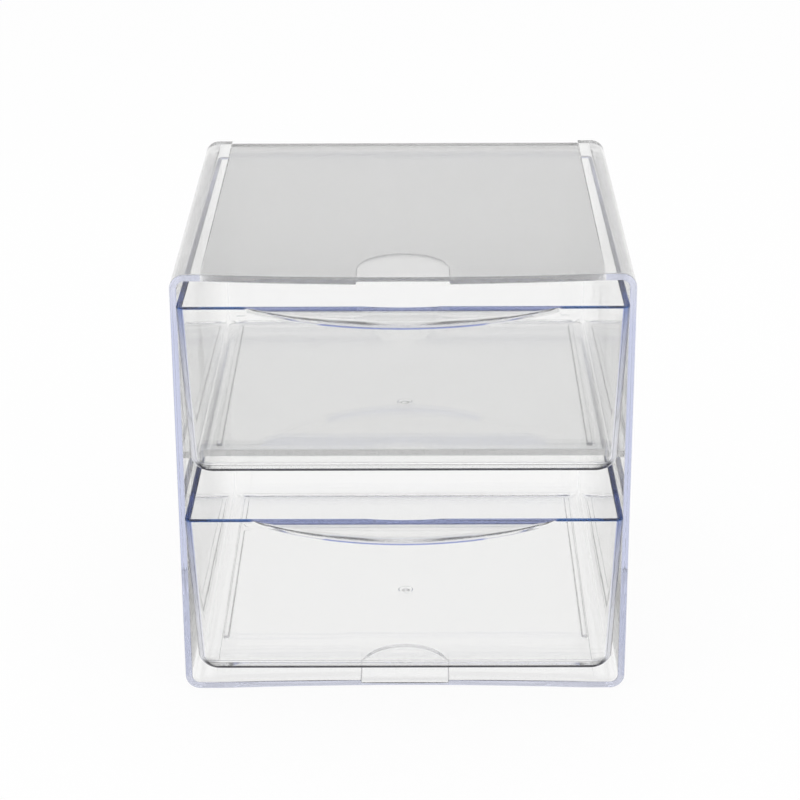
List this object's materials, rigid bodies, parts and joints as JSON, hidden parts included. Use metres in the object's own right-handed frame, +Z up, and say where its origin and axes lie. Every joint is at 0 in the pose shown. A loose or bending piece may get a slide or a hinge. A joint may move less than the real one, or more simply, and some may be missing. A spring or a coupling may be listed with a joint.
{
  "type": "drawer cube organiser",
  "caption": "Clear plastic desk cube, open in front, with a frosted top and middle shelf and stacked sliding drawers with crescent finger lips.",
  "frame": {"origin": "middle of the object's footprint, finger lips included, at the height it stands on", "axes": "+Z up, +X to the right seen from the front, -Y towards the person who pulls the drawers"},
  "size_m": [0.1524, 0.1824, 0.1524],
  "materials": {
    "cube_plastic": "clear plastic, glossy, with a finely frosted top panel",
    "shelf_plastic": "clear plastic with a finely frosted face",
    "drawer_plastic": "clear plastic, glossy, deep blue seen edge on"
  },
  "bodies": {
    "cube": {"outer_cube": "cube_plastic", "middle_shelf": "shelf_plastic"},
    "upper_drawer": {"upper_drawer": "drawer_plastic"},
    "lower_drawer": {"lower_drawer": "drawer_plastic"}
  },
  "joints": [
    {"name": "upper_drawer_slide", "type": "slide", "parent": "cube", "child": "upper_drawer", "axis": [0, -1, 0], "range_m": [0, 0.11]},
    {"name": "lower_drawer_slide", "type": "slide", "parent": "cube", "child": "lower_drawer", "axis": [0, -1, 0], "range_m": [0, 0.11]}
  ]
}
